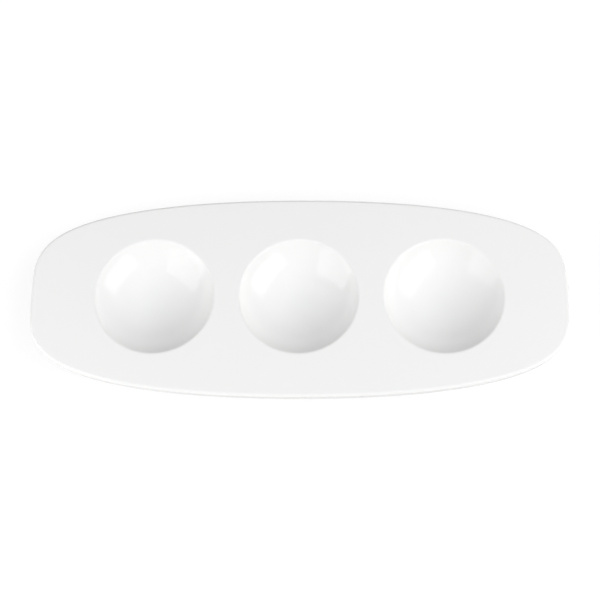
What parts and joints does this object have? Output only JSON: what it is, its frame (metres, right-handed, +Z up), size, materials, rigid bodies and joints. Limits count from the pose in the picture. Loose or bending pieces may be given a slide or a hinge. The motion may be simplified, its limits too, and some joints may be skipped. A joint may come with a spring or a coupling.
{
  "type": "serving plate",
  "caption": "Long flat porcelain serving plate with blunt rounded ends, a soft edge and round wells in a row for separate small portions, standing on low foot rings.",
  "frame": {"origin": "centre of the plate's outline, on the table that the foot rings stand on", "axes": "+X along the plate's length, +Y across it, +Z up out of the wells"},
  "size_m": [0.33, 0.128, 0.0245],
  "materials": {
    "glazed_porcelain": "smooth clear gloss glaze over white porcelain",
    "bare_porcelain": "unglazed, ground matt"
  },
  "bodies": {
    "root": {"plate_body": "glazed_porcelain", "foot_ring_left": "bare_porcelain", "foot_ring_centre": "bare_porcelain", "foot_ring_right": "bare_porcelain"}
  },
  "joints": []
}
